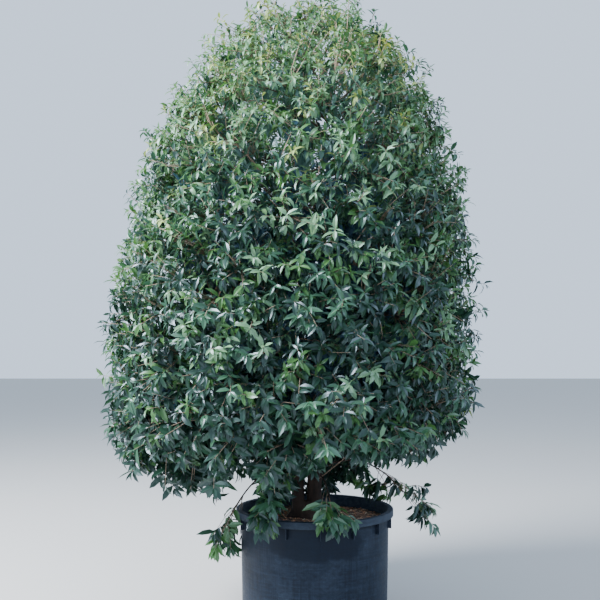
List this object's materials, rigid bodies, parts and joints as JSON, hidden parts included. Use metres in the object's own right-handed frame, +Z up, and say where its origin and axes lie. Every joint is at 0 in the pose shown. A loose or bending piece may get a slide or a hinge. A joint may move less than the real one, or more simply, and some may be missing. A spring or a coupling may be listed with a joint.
{
  "type": "fragrant olive shrub in a nursery pot",
  "caption": "Tall evergreen shrub with a dense egg-shaped head of glossy leaves on short stems, standing in a large ribbed round nursery pot.",
  "frame": {"origin": "middle of the pot's flat underside, on the ground", "axes": "+Z up; the pictured side looks towards -Y, and +X is to the viewer's right"},
  "size_m": [2.1885, 2.1864, 3.6873],
  "materials": {
    "pot": "dark blue-grey moulded plastic, matt, scuffed",
    "potting_mix": "dark composted bark with red-brown chips",
    "bark": "grey-brown bark with fine cracks and small pale pores",
    "young_bark": "smooth pale tan young bark",
    "foliage": "glossy dark green leaves with paler ribs and undersides"
  },
  "bodies": {
    "root": {"nursery_pot": "pot", "potting_mix": "potting_mix", "trunk": "bark", "stem_left": "bark", "stem_right": "bark", "stem_back": "bark", "bough_low_1": "bark", "bough_low_2": "bark", "bough_low_3": "bark", "bough_low_4": "bark", "bough_low_5": "bark", "bough_middle_1": "bark", "bough_middle_2": "bark", "bough_middle_3": "bark", "bough_middle_4": "bark", "bough_middle_5": "bark", "bough_upper_1": "bark", "bough_upper_2": "bark", "bough_upper_3": "bark", "bough_upper_4": "bark", "bough_high_2": "bark", "shoot_front_left": "young_bark", "shoot_front_middle": "young_bark", "shoot_left": "young_bark", "shoot_right": "young_bark", "foliage_low_1": "foliage", "foliage_low_2": "foliage", "foliage_low_3": "foliage", "foliage_low_4": "foliage", "foliage_low_5": "foliage", "foliage_middle_1": "foliage", "foliage_middle_2": "foliage", "foliage_middle_3": "foliage", "foliage_middle_4": "foliage", "foliage_middle_5": "foliage", "foliage_upper_1": "foliage", "foliage_upper_2": "foliage", "foliage_upper_3": "foliage", "foliage_upper_4": "foliage", "foliage_high_1": "foliage", "foliage_high_2": "foliage", "foliage_high_3": "foliage", "foliage_top": "foliage", "spray_front_left": "foliage", "spray_front_middle": "foliage", "spray_left": "foliage", "spray_right": "foliage"}
  },
  "joints": []
}
